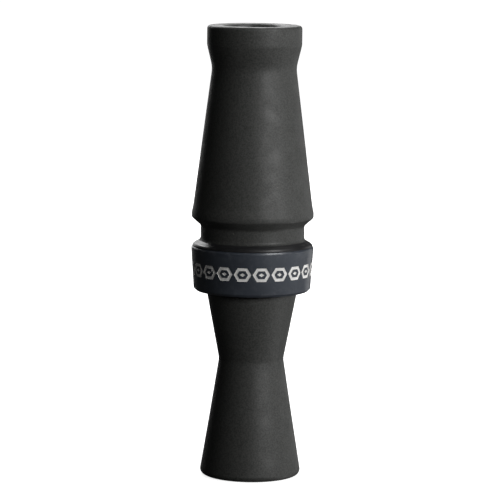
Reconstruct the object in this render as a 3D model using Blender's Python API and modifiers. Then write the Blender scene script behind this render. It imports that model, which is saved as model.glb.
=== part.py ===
"""A double-reed duck call, standing on the bell of its stopper.

The axis of the call is +Z and the origin is the centre of the bell's rim. The call comes apart into a
barrel with its band, a stopper with two O-rings, and the works inside: a tone board with its own O-ring, two
reeds and the cork wedge that clamps them. The reeds face -Y. Lengths are in metres, so each size is a number
of millimetres times MM.
"""

import math

import bmesh
import bpy
from mathutils import Matrix, Vector

MM = 0.001

# Driving dimensions.
OVERALL_LENGTH = 131.0 * MM
BORE_RADIUS = 7.95 * MM  # of the barrel, a 5/8 inch drill
SEAT_HEIGHT = 54.0 * MM  # of the stopper's shoulder, which the band sits on
TENON_TOP = 68.0 * MM
BOARD_TOP = 112.0 * MM  # the tip of the tone board
SEAT_GAP = 0.3 * MM  # between faces that touch on the real call
FIT_GAP = 0.1 * MM  # between pieces that are pressed or glued together
AROUND = 48  # sides of a turned piece
RING_AROUND = 40
ARC_STEP = math.radians(22.5)
SHARP_ANGLE = math.radians(32)

# Barrel, from the mouth down.
MOUTH_ROUNDING = 2.0 * MM
LIP_RADIUS = 13.7 * MM
LIP_FOOT = 125.4 * MM
WAIST_RADIUS = 12.13 * MM
WAIST_HEIGHT = 118.9 * MM
TAPER_RADIUS = 17.2 * MM  # at the foot of the long taper
TAPER_FOOT = 79.3 * MM
SHOULDER_RADIUS = 17.68 * MM
SHOULDER_TOP = 76.9 * MM
SHOULDER_FOOT = 75.6 * MM
GROOVE_RADIUS = 15.03 * MM  # floor of the lanyard groove
GROOVE_TOP = 73.25 * MM
GROOVE_FOOT = 69.1 * MM
FLANGE_RADIUS = 17.45 * MM
FLANGE_UNDERSIDE = 67.35 * MM
FLANGE_CHAMFER = (0.4 * MM, 0.6 * MM)  # across and up, over a narrow edge
FLANGE_EDGE = 0.1 * MM
SPIGOT_CHAMFER = 0.4 * MM
BORE_CHAMFER = 0.5 * MM

# Band.
BAND_BOTTOM = SEAT_HEIGHT + SEAT_GAP
BAND_TOP = FLANGE_UNDERSIDE - FIT_GAP
BAND_FLOOR = 1.2 * MM
BAND_WALL_INSIDE = 15.7 * MM
BAND_TOP_RADIUS = 17.75 * MM
BAND_LOW_RADIUS = 16.95 * MM
BAND_TOP_CHAMFER = 0.45 * MM
BAND_LOW_CHAMFER = 0.7 * MM
BAND_HOLE_RADIUS = 8.2 * MM

# Stopper, from the tenon down.
TENON_RADIUS = 7.75 * MM
TENON_CHAMFER = 0.5 * MM
NECK_RADIUS = 13.15 * MM  # where the stopper meets the band
THROAT_OUTSIDE = 9.38 * MM
THROAT_HEIGHT = 34.2 * MM
BELL_BEND_RADIUS = 11.99 * MM  # where the bell's side bends a little outwards
BELL_BEND_HEIGHT = 17.5 * MM
BELL_RADIUS = 15.1 * MM
BELL_INSIDE = 11.9 * MM
EXHAUST_RADIUS = 4.4 * MM
EXHAUST_FLARE_TOP = 33.0 * MM
SOCKET_RADIUS = 5.7 * MM
SOCKET_FLOOR = 48.5 * MM
SOCKET_CHAMFER = 0.4 * MM
SEAL_HEIGHTS = {"stopper_o_ring_lower": 58.6 * MM, "stopper_o_ring_upper": 64.2 * MM}
SEAL_GROOVE_RADIUS = 6.55 * MM
SEAL_GROOVE_WIDTH = 1.9 * MM
SEAL_RADIUS = 7.25 * MM  # to the middle of the rubber
SEAL_SECTION_RADIUS = 0.65 * MM

# Tone board. "Out" is the distance from the call's axis towards the reeds, along -Y.
SHANK_RADIUS = 5.5 * MM
SHANK_BOTTOM = 50.6 * MM
SHANK_CHAMFER = 0.5 * MM
BOARD_SEAL_HEIGHT = 57.0 * MM
BOARD_SEAL_GROOVE_RADIUS = 4.72 * MM
BOARD_SEAL_GROOVE_WIDTH = 1.3 * MM
BOARD_SEAL_RADIUS = 5.22 * MM
BOARD_SEAL_SECTION_RADIUS = 0.42 * MM
COLLAR_RADIUS = 7.6 * MM
COLLAR_UNDERSIDE = TENON_TOP + 0.2 * MM
COLLAR_TOP = 71.0 * MM
BOARD_BORE_RADIUS = 3.3 * MM
BOARD_BORE_TOP = COLLAR_TOP - 1.0 * MM
FACE_OUT = 0.5 * MM  # the flat that the reeds lie on
FACE_CURVE_START = 84.0 * MM
FACE_DROP = 1.1 * MM  # how far the face has curved away at the tip
ROOF_OUT = 4.6 * MM  # underside of the ledge over the wedge, at the collar
ROOF_RISE = 0.8 * MM
ROOF_END = 79.6 * MM
BOARD_HALF_WIDTH = 6.5 * MM
BOARD_SHOULDER = ROOF_END + 1.2 * MM  # where the board narrows above its collar
BOARD_TIP_ROUNDING = 3.6 * MM
BACK_OUT_AT_TIP = -4.4 * MM
CHANNEL_WIDTH = 4.4 * MM
CHANNEL_BEND = (-1.4 * MM, 103.0 * MM)  # out and height where its floor turns up to the face
CHANNEL_END = 107.0 * MM
KEY_WIDTH = 1.9 * MM
KEY_DEPTH = 1.2 * MM
KEY_GAP = 0.15 * MM

# Reeds and wedge.
REED_HALF_WIDTH = 6.3 * MM
REED_THICKNESS = 0.30 * MM
REED_TAIL = 71.4 * MM
REED_TIP_RADIUS = 3.4 * MM
LOWER_REED_TOP = 111.4 * MM
UPPER_REED_TOP = 109.8 * MM
REED_GAP = 0.08 * MM
REEDS_APART = 0.20 * MM  # held by the dimple
DIMPLE_HEIGHT = 86.0 * MM
DIMPLE_RADIUS = 1.1 * MM
DIMPLE_DEPTH = 0.15 * MM
WEDGE_HALF_WIDTH = 5.8 * MM
WEDGE_ENDS = (71.7 * MM, 80.4 * MM)


def material(name, colour, roughness, metallic=0.0):
    """A plain Principled material."""
    made = bpy.data.materials.new(name)
    made.use_nodes = True
    shader = made.node_tree.nodes["Principled BSDF"]
    shader.inputs["Base Color"].default_value = (*colour, 1.0)
    shader.inputs["Roughness"].default_value = roughness
    shader.inputs["Metallic"].default_value = metallic
    return made


def collection(name):
    made = bpy.data.collections.new(name)
    bpy.context.scene.collection.children.link(made)
    return made


def placed(made, group, finish=None):
    """Links an object to its collection and gives it its material."""
    group.objects.link(made)
    if finish:
        made.data.materials.append(finish)
    return made


def rounded(corner, before, after, radius):
    """The points of the arc that rounds a corner, in the order that the outline runs."""
    into, out_of = (before - corner).normalized(), (after - corner).normalized()
    half_angle = into.angle(out_of) / 2
    centre = corner + (into + out_of).normalized() * (radius / math.sin(half_angle))
    start = corner + into * (radius / math.tan(half_angle)) - centre
    end = corner + out_of * (radius / math.tan(half_angle)) - centre
    turn = math.atan2(start.cross(end), start.dot(end))
    steps = max(2, math.ceil(abs(turn) / ARC_STEP))
    spins = [Matrix.Rotation(turn * i / steps, 2) for i in range(steps + 1)]
    return [centre + spin @ start for spin in spins]


def outline(corners):
    """The points of a closed outline whose corners are (x, y) or (x, y, rounding radius)."""
    places = [Vector(corner[:2]) for corner in corners]
    points = []
    for i, corner in enumerate(corners):
        if len(corner) < 3:
            points.append(places[i])
            continue
        following = places[(i + 1) % len(places)]
        points += rounded(places[i], places[i - 1], following, corner[2])
    return points


def realised(piece):
    """The piece with its modifiers applied, shaded smooth except at its edges."""
    graph = bpy.context.evaluated_depsgraph_get()
    mesh = bpy.data.meshes.new_from_object(piece.evaluated_get(graph))
    piece.modifiers.clear()
    piece.data = mesh
    mesh.name = piece.name
    mesh.shade_smooth()
    mesh.set_sharp_from_angle(angle=SHARP_ANGLE)
    return piece


def turned(name, points, group, finish=None, around=AROUND):
    """A solid turned about Z from (radius, height) points, which run down its outside and up its inside."""
    count = len(points)
    on_axis = points[0][0] == 0
    edges = [(i, (i + 1) % count) for i in range(count - on_axis)]
    mesh = bpy.data.meshes.new(name)
    mesh.from_pydata([(radius, 0, height) for radius, height in points], edges, [])
    piece = placed(bpy.data.objects.new(name, mesh), group, finish)
    screw = piece.modifiers.new("turn", "SCREW")
    screw.steps = screw.render_steps = around
    screw.use_merge_vertices = True
    screw.merge_threshold = 0.001 * MM
    return realised(piece)


def flat_shape(name, points, thickness, placing, group, finish=None):
    """A plate with the outline of the points, centred on the plane that placing sets."""
    curve = bpy.data.curves.new(name, "CURVE")
    curve.dimensions = "2D"
    curve.fill_mode = "BOTH"
    curve.extrude = thickness / 2
    spline = curve.splines.new("POLY")
    spline.points.add(len(points) - 1)
    for place, point in zip(spline.points, points):
        place.co = (*point, 0, 1)
    spline.use_cyclic_u = True
    drawn = placed(bpy.data.objects.new(name + "_outline", curve), group)
    drawn.matrix_world = placing
    bpy.context.view_layer.update()
    graph = bpy.context.evaluated_depsgraph_get()
    mesh = bpy.data.meshes.new_from_object(drawn.evaluated_get(graph))
    weld(mesh)
    piece = placed(bpy.data.objects.new(name, mesh), group, finish)
    piece.matrix_world = placing
    bpy.data.objects.remove(drawn)
    return piece


def weld(mesh):
    """Joins a curve's loose caps to its sides."""
    shape = bmesh.new()
    shape.from_mesh(mesh)
    bmesh.ops.remove_doubles(shape, verts=shape.verts, dist=0.001 * MM)
    shape.to_mesh(mesh)
    shape.free()


def side_view(x=0.0):
    """Places an outline drawn as (out, height) in the plane at x."""
    axes = Matrix(((0, 0, -1), (-1, 0, 0), (0, 1, 0))).to_4x4()
    return Matrix.Translation((x, 0, 0)) @ axes


def front_view(out=0.0):
    """Places an outline drawn as (x, height) in the plane that far out."""
    axes = Matrix(((1, 0, 0), (0, 0, -1), (0, 1, 0))).to_4x4()
    return Matrix.Translation((0, -out, 0)) @ axes


def block(name, low, high, group):
    """A box between two corners."""
    low, high = Vector(low), Vector(high)
    bpy.ops.mesh.primitive_cube_add(size=1, location=(low + high) / 2)
    made = bpy.context.object
    made.name = name
    made.scale = high - low
    for holder in made.users_collection:
        holder.objects.unlink(made)
    return placed(made, group)


def shaped(piece, operation, tool):
    """Cuts the piece with the tool, or joins or crops it, and hides the tool."""
    boolean = piece.modifiers.new(tool.name, "BOOLEAN")
    boolean.operation = operation
    boolean.object = tool
    boolean.solver = "EXACT"
    tool.hide_render = True
    tool.display_type = "WIRE"


def bevelled(piece, width, segments=2):
    bevel = piece.modifiers.new("edges", "BEVEL")
    bevel.width = width
    bevel.segments = segments
    bevel.limit_method = "ANGLE"


def groove(height, width, floor, surface):
    """The four corners of a groove in the outside of a turned piece, from the top down."""
    top, bottom = height + width / 2, height - width / 2
    return [(surface, top), (floor, top), (floor, bottom), (surface, bottom)]


def make_barrel(group, finish):
    """The mouthpiece: lip, waist, long taper, lanyard groove, flange, and the spigot inside the band."""
    outside = [
        (LIP_RADIUS, OVERALL_LENGTH, 1.0 * MM),
        (LIP_RADIUS, LIP_FOOT, 5.0 * MM),
        (WAIST_RADIUS, WAIST_HEIGHT, 8.0 * MM),
        (TAPER_RADIUS, TAPER_FOOT, 10.0 * MM),
        (SHOULDER_RADIUS, SHOULDER_TOP, 2.5 * MM),
        (SHOULDER_RADIUS, SHOULDER_FOOT, 0.9 * MM),
        (GROOVE_RADIUS, GROOVE_TOP, 1.2 * MM),
        (GROOVE_RADIUS, GROOVE_FOOT, 1.4 * MM),
        (FLANGE_RADIUS - FLANGE_CHAMFER[0], FLANGE_UNDERSIDE + FLANGE_CHAMFER[1]),
        (FLANGE_RADIUS, FLANGE_UNDERSIDE + FLANGE_EDGE),
        (FLANGE_RADIUS, FLANGE_UNDERSIDE),
    ]
    spigot_radius = BAND_WALL_INSIDE - FIT_GAP
    spigot_end = BAND_BOTTOM + BAND_FLOOR + FIT_GAP
    spigot = [
        (spigot_radius, FLANGE_UNDERSIDE),
        (spigot_radius, spigot_end + SPIGOT_CHAMFER),
        (spigot_radius - SPIGOT_CHAMFER, spigot_end),
    ]
    bore = [
        (BORE_RADIUS + BORE_CHAMFER, spigot_end),
        (BORE_RADIUS, spigot_end + BORE_CHAMFER),
        (BORE_RADIUS, OVERALL_LENGTH, MOUTH_ROUNDING),
    ]
    return turned("barrel", outline(outside + spigot + bore), group, finish)


def make_band(group, finish):
    """The metal collar: a cup whose floor covers the barrel's end and takes the stopper's shoulder."""
    corners = [
        (BAND_TOP_RADIUS - BAND_TOP_CHAMFER, BAND_TOP),
        (BAND_TOP_RADIUS, BAND_TOP - BAND_TOP_CHAMFER),
        (BAND_LOW_RADIUS, BAND_BOTTOM + BAND_LOW_CHAMFER),
        (BAND_LOW_RADIUS - BAND_LOW_CHAMFER, BAND_BOTTOM),
        (BAND_HOLE_RADIUS, BAND_BOTTOM),
        (BAND_HOLE_RADIUS, BAND_BOTTOM + BAND_FLOOR),
        (BAND_WALL_INSIDE, BAND_BOTTOM + BAND_FLOOR),
        (BAND_WALL_INSIDE, BAND_TOP),
    ]
    return turned("band", outline(corners), group, finish)


def exhaust_flare(steps=8):
    """The bell's inside, from the rounded rim up to the straight exhaust bore."""
    opening = BELL_INSIDE - EXHAUST_RADIUS
    points = []
    for i in range(1, steps + 1):
        share = i / steps
        radius = EXHAUST_RADIUS + opening * (1 - share) ** 1.5
        points.append((radius, EXHAUST_FLARE_TOP * share))
    return points


def make_stopper(group, cutters, finish):
    """The lower body: a tenon with two seal grooves, a tapered neck, and the bell that the call stands on."""
    tenon = [
        (TENON_RADIUS - TENON_CHAMFER, TENON_TOP),
        (TENON_RADIUS, TENON_TOP - TENON_CHAMFER),
    ]
    for height in sorted(SEAL_HEIGHTS.values(), reverse=True):
        tenon += groove(height, SEAL_GROOVE_WIDTH, SEAL_GROOVE_RADIUS, TENON_RADIUS)
    outside = [
        (TENON_RADIUS, SEAT_HEIGHT),
        (NECK_RADIUS, SEAT_HEIGHT, 0.3 * MM),
        (THROAT_OUTSIDE, THROAT_HEIGHT, 5.0 * MM),
        (BELL_BEND_RADIUS, BELL_BEND_HEIGHT, 40.0 * MM),
        (BELL_RADIUS, 0.0, 1.5 * MM),
        (BELL_INSIDE, 0.0, 0.8 * MM),
    ]
    inside = [
        (EXHAUST_RADIUS, SOCKET_FLOOR),
        (SOCKET_RADIUS, SOCKET_FLOOR),
        (SOCKET_RADIUS, TENON_TOP - SOCKET_CHAMFER),
        (SOCKET_RADIUS + SOCKET_CHAMFER, TENON_TOP),
    ]
    profile = outline(tenon + outside + exhaust_flare() + inside)
    stopper = turned("stopper", profile, group, finish)
    half = KEY_WIDTH / 2 + KEY_GAP
    notch = block(
        "key_notch",
        (-half, SOCKET_RADIUS - 1 * MM, TENON_TOP - KEY_DEPTH - KEY_GAP),
        (half, TENON_RADIUS + 1 * MM, TENON_TOP + 1 * MM),
        cutters,
    )
    shaped(stopper, "DIFFERENCE", notch)
    return stopper


def make_ring(name, middle_radius, height, section_radius, group, finish):
    """An O-ring."""
    sides = 8
    points = []
    for i in range(sides):
        angle = -2 * math.pi * (i + 0.5) / sides
        radius = middle_radius + section_radius * math.cos(angle)
        points.append((radius, height + section_radius * math.sin(angle)))
    return turned(name, points, group, finish, RING_AROUND)


def face_curve(steps=8):
    """The tone board's face from where it leaves the flat to past the tip, as (out, height) points."""
    end = BOARD_TOP + 2 * MM
    bend = FACE_DROP / (BOARD_TOP - FACE_CURVE_START) ** 2
    points = []
    for i in range(steps + 1):
        along = (end - FACE_CURVE_START) * i / steps
        points.append((FACE_OUT - bend * along**2, FACE_CURVE_START + along))
    return points


def make_tone_board(group, cutters, finish):
    """The board that the reeds beat on: a shank for the stopper's socket, a collar with the ledge over the
    wedge, and a long face with the channel that leads the air down to the exhaust."""
    body_radius = COLLAR_RADIUS - 0.2 * MM
    outside = [
        (0, BOARD_TOP),
        (body_radius, BOARD_TOP),
        (body_radius, ROOF_END + 0.8 * MM),
        (COLLAR_RADIUS, ROOF_END + 0.3 * MM),
        (COLLAR_RADIUS, COLLAR_UNDERSIDE),
        (SHANK_RADIUS, COLLAR_UNDERSIDE),
        *groove(BOARD_SEAL_HEIGHT, BOARD_SEAL_GROOVE_WIDTH, BOARD_SEAL_GROOVE_RADIUS, SHANK_RADIUS),
        (SHANK_RADIUS, SHANK_BOTTOM + SHANK_CHAMFER),
        (SHANK_RADIUS - SHANK_CHAMFER, SHANK_BOTTOM),
    ]
    inside = [
        (BOARD_BORE_RADIUS, SHANK_BOTTOM),
        (BOARD_BORE_RADIUS, BOARD_BORE_TOP),
        (0, BOARD_BORE_TOP),
    ]
    board = turned("tone_board", outline(outside + inside), group, finish)

    key_inside = SOCKET_RADIUS + 0.3 * MM
    key = block(
        "key",
        (-KEY_WIDTH / 2, key_inside, TENON_TOP - KEY_DEPTH),
        (KEY_WIDTH / 2, COLLAR_RADIUS - 0.3 * MM, COLLAR_TOP - 1 * MM),
        cutters,
    )
    shaped(board, "UNION", key)

    beyond = 12 * MM
    half = BOARD_HALF_WIDTH
    plan = [
        (-beyond, SHANK_BOTTOM - 5 * MM),
        (beyond, SHANK_BOTTOM - 5 * MM),
        (beyond, BOARD_SHOULDER),
        (half, BOARD_SHOULDER, 1.0 * MM),
        (half, BOARD_TOP, BOARD_TIP_ROUNDING),
        (-half, BOARD_TOP, BOARD_TIP_ROUNDING),
        (-half, BOARD_SHOULDER, 1.0 * MM),
        (-beyond, BOARD_SHOULDER),
    ]
    crop = flat_shape("board_plan", outline(plan), 4 * beyond, front_view(), cutters)
    shaped(board, "INTERSECT", crop)

    above_face = [
        (FACE_OUT, COLLAR_TOP),
        (ROOF_OUT, COLLAR_TOP, 0.8 * MM),
        (ROOF_OUT + ROOF_RISE, ROOF_END),
        (beyond, ROOF_END),
        (beyond, BOARD_TOP + 2 * MM),
    ]
    side = outline(above_face) + [Vector(point) for point in reversed(face_curve())]
    slot = flat_shape("above_face", side, 2 * beyond, side_view(), cutters)
    shaped(board, "DIFFERENCE", slot)

    back = [
        (-COLLAR_RADIUS - 0.5 * MM, ROOF_END + 2 * MM),
        (BACK_OUT_AT_TIP, BOARD_TOP + 1 * MM),
        (-beyond, BOARD_TOP + 1 * MM),
        (-beyond, ROOF_END + 2 * MM),
    ]
    taper = flat_shape("behind_back", outline(back), 2 * beyond, side_view(), cutters)
    shaped(board, "DIFFERENCE", taper)

    channel_top = FACE_OUT + 0.6 * MM
    channel = [
        (channel_top, BOARD_BORE_TOP - 4 * MM),
        (-BOARD_BORE_RADIUS + 0.2 * MM, BOARD_BORE_TOP - 4 * MM),
        (*CHANNEL_BEND, 4.0 * MM),
        (channel_top, CHANNEL_END),
    ]
    trough = flat_shape("channel", outline(channel), CHANNEL_WIDTH, side_view(), cutters)
    bevelled(trough, 1.0 * MM)
    shaped(board, "DIFFERENCE", trough)
    return board


def reed_outline(top):
    """A reed seen from the front: square at its tail and rounded at its tip."""
    half = REED_HALF_WIDTH
    return outline(
        [
            (-half, REED_TAIL),
            (half, REED_TAIL),
            (half, top, REED_TIP_RADIUS),
            (-half, top, REED_TIP_RADIUS),
        ]
    )


def make_reeds(group, cutters, finish):
    """Two reeds of plastic film. The upper one is shorter, and its dimple keeps it off the lower one."""
    lower_out = FACE_OUT + REED_GAP + REED_THICKNESS / 2
    upper_out = lower_out + REED_THICKNESS + REEDS_APART
    points = reed_outline(LOWER_REED_TOP)
    flat_shape("lower_reed", points, REED_THICKNESS, front_view(lower_out), group, finish)
    points = reed_outline(UPPER_REED_TOP)
    upper = flat_shape("upper_reed", points, REED_THICKNESS, front_view(upper_out), group, finish)

    under = upper_out - REED_THICKNESS / 2
    bpy.ops.mesh.primitive_uv_sphere_add(segments=16, ring_count=8, radius=1)
    dimple = bpy.context.object
    dimple.name = "dimple"
    dimple.location = (0, -under, DIMPLE_HEIGHT)
    dimple.scale = (DIMPLE_RADIUS, DIMPLE_DEPTH, DIMPLE_RADIUS)
    for holder in dimple.users_collection:
        holder.objects.unlink(dimple)
    placed(dimple, cutters)
    shaped(upper, "UNION", dimple)


def make_wedge(group, finish):
    """The cork wedge, driven in over the reeds under the tone board's ledge."""
    reeds = 2 * REED_THICKNESS + REED_GAP + REEDS_APART
    under = FACE_OUT + reeds + FIT_GAP
    low, high = WEDGE_ENDS
    slope = ROOF_RISE / (ROOF_END - COLLAR_TOP)
    over = ROOF_OUT - FIT_GAP
    corners = [
        (under, low),
        (under, high),
        (over + slope * (high - COLLAR_TOP), high),
        (over + slope * (low - COLLAR_TOP), low),
    ]
    points = [Vector(corner) for corner in reversed(corners)]
    wedge = flat_shape("wedge", points, 2 * WEDGE_HALF_WIDTH, side_view(), group, finish)
    bevelled(wedge, 0.3 * MM)
    return wedge


def main():
    for thing in list(bpy.data.objects):
        bpy.data.objects.remove(thing)
    parts = collection("duck_call")
    cutters = collection("cutters")
    soft_black = material("soft_touch_black", (0.035, 0.035, 0.036), 0.55)
    anodised = material("anodised_band", (0.035, 0.042, 0.055), 0.22, metallic=0.9)
    board_black = material("tone_board_black", (0.02, 0.02, 0.022), 0.3)
    rubber = material("seal_rubber", (0.012, 0.012, 0.012), 0.45)
    film = material("reed_film", (0.75, 0.76, 0.72), 0.35)
    cork = material("cork", (0.52, 0.33, 0.18), 0.85)

    make_barrel(parts, soft_black)
    make_band(parts, anodised)
    make_stopper(parts, cutters, soft_black)
    for name, height in SEAL_HEIGHTS.items():
        make_ring(name, SEAL_RADIUS, height, SEAL_SECTION_RADIUS, parts, rubber)
    board_seal = (BOARD_SEAL_RADIUS, BOARD_SEAL_HEIGHT, BOARD_SEAL_SECTION_RADIUS)
    make_ring("tone_board_o_ring", *board_seal, parts, rubber)
    make_tone_board(parts, cutters, board_black)
    make_reeds(parts, cutters, film)
    make_wedge(parts, cork)


main()
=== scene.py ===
import math

import bmesh
import bpy
from mathutils import Matrix, Vector, noise


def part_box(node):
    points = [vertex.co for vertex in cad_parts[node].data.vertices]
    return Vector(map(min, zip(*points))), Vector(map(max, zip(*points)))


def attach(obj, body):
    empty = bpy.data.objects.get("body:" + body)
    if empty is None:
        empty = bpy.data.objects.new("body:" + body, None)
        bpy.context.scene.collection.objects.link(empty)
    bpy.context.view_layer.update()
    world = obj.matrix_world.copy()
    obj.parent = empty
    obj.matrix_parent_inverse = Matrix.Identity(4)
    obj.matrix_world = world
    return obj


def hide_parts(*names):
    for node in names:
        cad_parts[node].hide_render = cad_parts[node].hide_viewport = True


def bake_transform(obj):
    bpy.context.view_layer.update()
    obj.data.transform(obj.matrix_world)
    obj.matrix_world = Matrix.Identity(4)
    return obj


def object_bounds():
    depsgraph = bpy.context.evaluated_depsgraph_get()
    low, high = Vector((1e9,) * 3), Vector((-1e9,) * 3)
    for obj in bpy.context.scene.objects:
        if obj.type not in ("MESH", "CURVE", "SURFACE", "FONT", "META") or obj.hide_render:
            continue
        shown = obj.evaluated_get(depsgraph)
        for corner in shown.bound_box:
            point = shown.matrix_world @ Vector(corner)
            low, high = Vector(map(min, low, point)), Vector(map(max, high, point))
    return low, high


# The looks of a double-reed duck call. Its axis is +Z, it stands on its bell at z = 0, and its reeds face -Y.
# Each CAD node is replaced by a piece with the same sizes and a finer surface. Lengths are in metres.

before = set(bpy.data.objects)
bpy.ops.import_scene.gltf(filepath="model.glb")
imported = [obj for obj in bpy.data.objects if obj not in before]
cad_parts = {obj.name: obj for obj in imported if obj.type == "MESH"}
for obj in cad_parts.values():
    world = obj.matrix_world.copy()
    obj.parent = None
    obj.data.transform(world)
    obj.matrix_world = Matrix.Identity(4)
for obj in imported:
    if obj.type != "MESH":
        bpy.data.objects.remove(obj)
cad_low, cad_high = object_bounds()

MM = 0.001
AROUND = 192  # sides of a turned piece
ARC_STEP = math.radians(9)
SHARP_ANGLE = math.radians(32)
MERGE_DISTANCE = 0.002 * MM

# Sizes read from the frame.
overall_length = cad_high.z
band_top_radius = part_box("band")[1].x
band_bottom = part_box("band")[0].z
band_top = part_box("band")[1].z
tenon_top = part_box("stopper")[1].z
bell_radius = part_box("stopper")[1].x
board_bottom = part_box("tone_board")[0].z
board_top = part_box("tone_board")[1].z
collar_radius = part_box("tone_board")[1].x
reed_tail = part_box("lower_reed")[0].z
lower_reed_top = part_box("lower_reed")[1].z
upper_reed_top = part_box("upper_reed")[1].z
reed_half_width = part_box("lower_reed")[1].x
lower_reed_back = -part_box("lower_reed")[1].y
reed_thickness = -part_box("lower_reed")[0].y - lower_reed_back
upper_reed_back = -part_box("upper_reed")[0].y - reed_thickness
wedge_low, wedge_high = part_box("wedge")

# Sizes that the frame's boxes don't give, from here to the wedge. "Out" is the distance along -Y.
FIT_GAP = 0.1 * MM  # between pieces that are pressed or glued together
SEAT_GAP = 0.3 * MM  # between the band and the stopper's shoulder

# Barrel, from the mouth down.
BORE_RADIUS = 7.95 * MM
BORE_CHAMFER = 0.5 * MM
LIP_RADIUS = 13.7 * MM
LIP_FOOT = 125.4 * MM
WAIST_RADIUS = 12.13 * MM
WAIST_HEIGHT = 118.9 * MM
TAPER_RADIUS = 17.2 * MM  # at the foot of the long taper
TAPER_FOOT = 79.3 * MM
SHOULDER_RADIUS = 17.68 * MM
SHOULDER_TOP = 76.9 * MM
SHOULDER_FOOT = 75.6 * MM
GROOVE_RADIUS = 15.03 * MM  # floor of the lanyard groove
GROOVE_TOP = 73.25 * MM
GROOVE_FOOT = 69.1 * MM
FLANGE_RADIUS = 17.45 * MM
FLANGE_CHAMFER = (0.4 * MM, 0.6 * MM)  # across and up, over a narrow edge
FLANGE_EDGE = 0.1 * MM
FLANGE_UNDERCUT = 0.05 * MM
SATIN_SHADE_TOP = 68.9 * MM  # the flange's sloping side is satin below this height and outside this radius, and darker there: partly a glossier finish, partly painted shade
SATIN_SHADE_INSIDE = 15.2 * MM

# Band.
BAND_FLOOR = 1.2 * MM
BAND_WALL_INSIDE = 15.7 * MM
BAND_LOW_RADIUS = 16.95 * MM
BAND_TOP_CHAMFER = 0.45 * MM
BAND_LOW_CHAMFER = 0.7 * MM
BAND_HOLE_RADIUS = 8.2 * MM
ENGRAVING_MIDDLE = 60.9 * MM
ENGRAVING_HEIGHT = 3.9 * MM
ENGRAVING_STROKE = 0.82 * MM
ENGRAVING_DEPTH = 0.10 * MM
ENGRAVING_CELLS = 20
CUTTER_PROUD = 0.4 * MM  # how far the engraving's cutter stands out of the band

# Stopper, from the tenon down.
TENON_RADIUS = 7.75 * MM
SEAL_GROOVE_RADIUS = 6.55 * MM
SEAL_GROOVE_WIDTH = 1.9 * MM
NECK_RADIUS = 13.15 * MM  # where the stopper meets the band
THROAT_OUTSIDE = 9.38 * MM
THROAT_HEIGHT = 34.2 * MM
BELL_BEND_RADIUS = 11.99 * MM  # where the bell's side bends a little outwards
BELL_BEND_HEIGHT = 17.5 * MM
BELL_CORNER = 0.04 * MM  # how far the foot's corner would reach past its rounding
BELL_INSIDE = 11.9 * MM
EXHAUST_RADIUS = 4.4 * MM
EXHAUST_FLARE_TOP = 33.0 * MM
SOCKET_RADIUS = 5.7 * MM
SOCKET_FLOOR = 48.5 * MM
COATED_INSIDE = 20.0 * MM  # how far up the bell's inside the coating reaches
UNCOATED_RADIUS = 6.6 * MM  # the exhaust is narrower than this above there, and the outside is wider

# Tone board.
SHANK_RADIUS = 5.5 * MM
BOARD_SEAL_GROOVE_RADIUS = 4.72 * MM
BOARD_SEAL_GROOVE_WIDTH = 1.3 * MM
COLLAR_GAP = 0.2 * MM
COLLAR_STEP = 0.2 * MM
COLLAR_TOP = 71.0 * MM
BOARD_BORE_RADIUS = 3.3 * MM
BOARD_BORE_TOP = COLLAR_TOP - 1.0 * MM
FACE_OUT = 0.5 * MM  # the flat that the reeds lie on
FACE_CURVE_START = 84.0 * MM
FACE_DROP = 1.1 * MM  # how far the face has curved away at the tip
ROOF_OUT = 4.6 * MM  # underside of the ledge over the wedge, at the collar
ROOF_RISE = 0.8 * MM
ROOF_END = 79.6 * MM
BOARD_HALF_WIDTH = 6.5 * MM
BOARD_SHOULDER = ROOF_END + 1.2 * MM  # where the board narrows above its collar
BOARD_TIP_ROUNDING = 3.6 * MM
BACK_OUT_AT_TIP = -4.4 * MM
CHANNEL_WIDTH = 4.4 * MM
CHANNEL_BEND = (-1.4 * MM, 103.0 * MM)  # out and height where its floor turns up to the face
CHANNEL_END = 107.0 * MM
KEY_WIDTH = 1.9 * MM
KEY_DEPTH = 1.2 * MM
KEY_GAP = 0.15 * MM

# Reeds and wedge.
REED_TIP_RADIUS = 3.4 * MM
REED_ROWS, REED_COLUMNS = 90, 28
ROW_CROWDING = 1.6  # 1 spaces the rows evenly, and more brings them together towards the tip
DIMPLE_HEIGHT = 86.0 * MM
DIMPLE_RADIUS = 1.1 * MM
DIMPLE_DEPTH = 0.15 * MM
CORK_WEAR = 0.03 * MM
CORK_GRAIN_DEPTH = 0.03 * MM
CORK_GRAINS_PER_METRE = 900
CORK_PORE_DEPTH = 0.25 * MM
CORK_PORES_PER_METRE = 1500
CORK_PORE_LENGTHENING = 0.4  # their scale along the wedge, so less makes them longer
CORK_PORE_THRESHOLD = 0.35

# The camera, which stands a little above the call and looks down at it, and the studio round it.
CAMERA_DISTANCE = 0.840
CAMERA_HEIGHT = 0.17645
CAMERA_ASIDE = -0.00067
CAMERA_PITCH = math.radians(7.5)
CAMERA_ROLL = math.radians(0.64)
CAMERA_LENS = 210.3
AIM_HEIGHT = 0.85 * overall_length  # of the point that the lights face
FLOOR_REACH = 6.0
FLOOR_SINK = 0.05 * MM
SURROUNDINGS_STRENGTH = 0.02
BACKDROP_STRENGTH = 1.05
PAINTED_SHADE_GLOW = 0.85  # glow of the floor round the call, dimmed there as a painted shade that lets its contact shadow show; the floor is as bright as the backdrop from the reach below outwards
PAINTED_SHADE_REACH = 0.14


# ---------------------------------------------------------------- outlines and solids


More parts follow.
